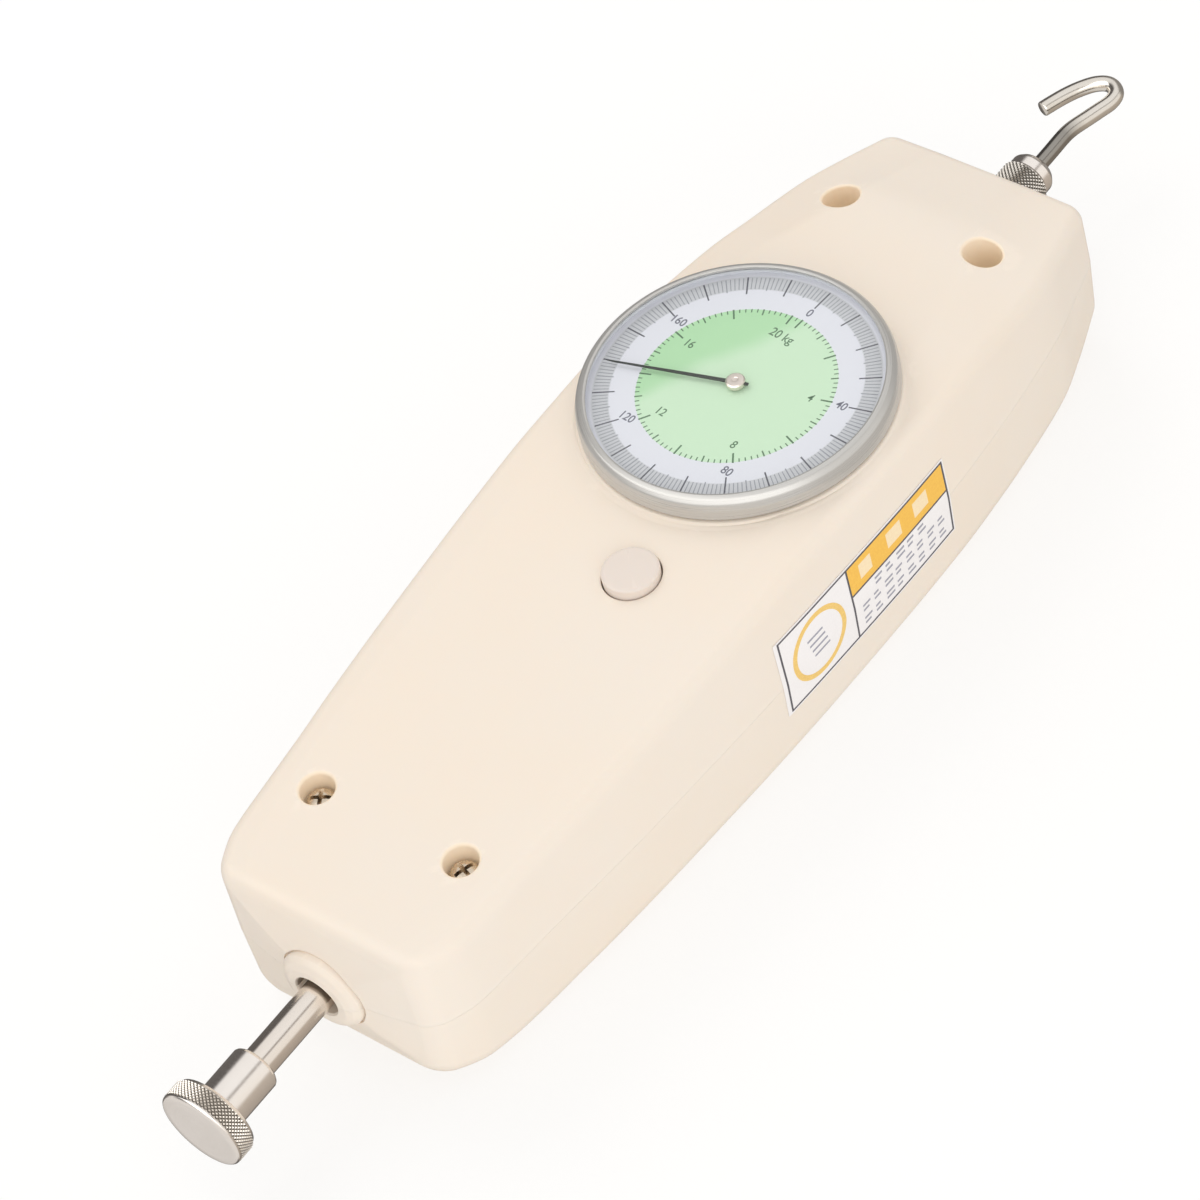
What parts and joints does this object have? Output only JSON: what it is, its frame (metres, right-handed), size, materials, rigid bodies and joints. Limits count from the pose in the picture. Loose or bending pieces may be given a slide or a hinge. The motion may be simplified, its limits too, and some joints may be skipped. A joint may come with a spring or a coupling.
{
  "type": "push-pull force gauge",
  "caption": "Handheld analogue force gauge: tapered plastic case with a round dial, a sliding shaft with a hook at one end and a knurled compression disc at the other.",
  "frame": {"origin": "centre of the flat back of the case, directly under the middle of the dial", "axes": "+Y along the shaft towards the hook, +Z out of the dial, +X to the right when the dial is read with the hook up"},
  "size_m": [0.0637, 0.2733, 0.0493],
  "materials": {
    "case_front": "fine moulded texture",
    "case_rear": "fine moulded texture",
    "button": "smooth satin",
    "bezel": "satin turned",
    "glass": "clear",
    "dial": "printed matt",
    "pointer": "matt black",
    "bright": "nickel plated",
    "steel": "ground",
    "spring": "drawn wire",
    "brass": "turned",
    "screw": "nickel plated",
    "cup": "moulded",
    "label": "printed, coated",
    "frame": "zinc plated"
  },
  "bodies": {
    "case": {"front_shell": "case_front", "rear_shell": "case_rear", "case_screw_1": "screw", "case_screw_2": "screw", "case_screw_3": "screw", "case_screw_4": "screw", "frame_plate": "frame", "frame_screw_1": "screw", "frame_screw_2": "screw", "frame_screw_3": "screw", "frame_screw_4": "screw", "shaft_bush_disc_end": "brass", "shaft_bush_hook_end": "brass", "main_spring": "spring", "arbor_bridge": "frame", "movement_plate": "brass", "plate_pillar_1": "brass", "plate_pillar_2": "brass", "plate_pillar_3": "brass", "plate_pillar_4": "brass", "cup_post_1": "brass", "cup_post_2": "brass", "cup_post_3": "brass", "dial_cup": "cup", "button_spring": "spring", "button_bracket": "frame", "lever_pin": "bright", "side_label": "label"},
    "shaft": {"main_shaft": "bright", "spring_collar": "brass", "rack_bar": "steel", "rack_screw_1": "screw", "rack_screw_2": "screw", "push_tip": "bright", "hook_collar": "bright", "hook": "bright"},
    "wheel": {"wheel_arbor": "steel", "gear_wheel": "brass"},
    "pointer_set": {"pointer_arbor": "steel", "pointer": "pointer", "pointer_hub_cap": "bright", "brake_disc": "bezel"},
    "bezel": {"bezel_ring": "bezel", "crystal": "glass", "dial_spacer_ring": "dial", "dial_plate": "dial"},
    "button": {"release_button": "button", "button_clip": "steel"},
    "lever": {"brake_lever": "steel"}
  },
  "joints": [
    {"name": "shaft_slide", "type": "slide", "parent": "case", "child": "shaft", "axis": [0, 1, 0], "range_m": [0, 0.01], "stiffness_N_per_m": 20000, "deforming": ["main_spring"]},
    {"name": "wheel_spin", "type": "hinge", "parent": "case", "child": "wheel", "pos_m": [-0.009, 0.01408, 0.0202], "axis": [0, 0, 1], "range_deg": [-3, 147]},
    {"name": "pointer_spin", "type": "hinge", "parent": "case", "child": "pointer_set", "pos_m": [0, 0, 0.0202], "axis": [0, 0, 1], "range_deg": [-366, 6]},
    {"name": "bezel_turn", "type": "hinge", "parent": "case", "child": "bezel", "pos_m": [0, 0, 0.045], "axis": [0, 0, 1], "continuous": true},
    {"name": "button_press", "type": "slide", "parent": "case", "child": "button", "axis": [0, 0, -1], "range_m": [0, 0.002], "stiffness_N_per_m": 300, "deforming": ["button_spring"]},
    {"name": "lever_rock", "type": "hinge", "parent": "case", "child": "lever", "pos_m": [0.0065, -0.024, 0.0334], "axis": [1, 0, 0], "range_deg": [-1, 8]}
  ],
  "couplings": [
    {"joint": "wheel_spin", "follows": "shaft_slide", "rad_per_m": 251.33},
    {"joint": "pointer_spin", "follows": "shaft_slide", "rad_per_m": -628.32},
    {"joint": "lever_rock", "follows": "button_press", "rad_per_m": 58.824}
  ]
}
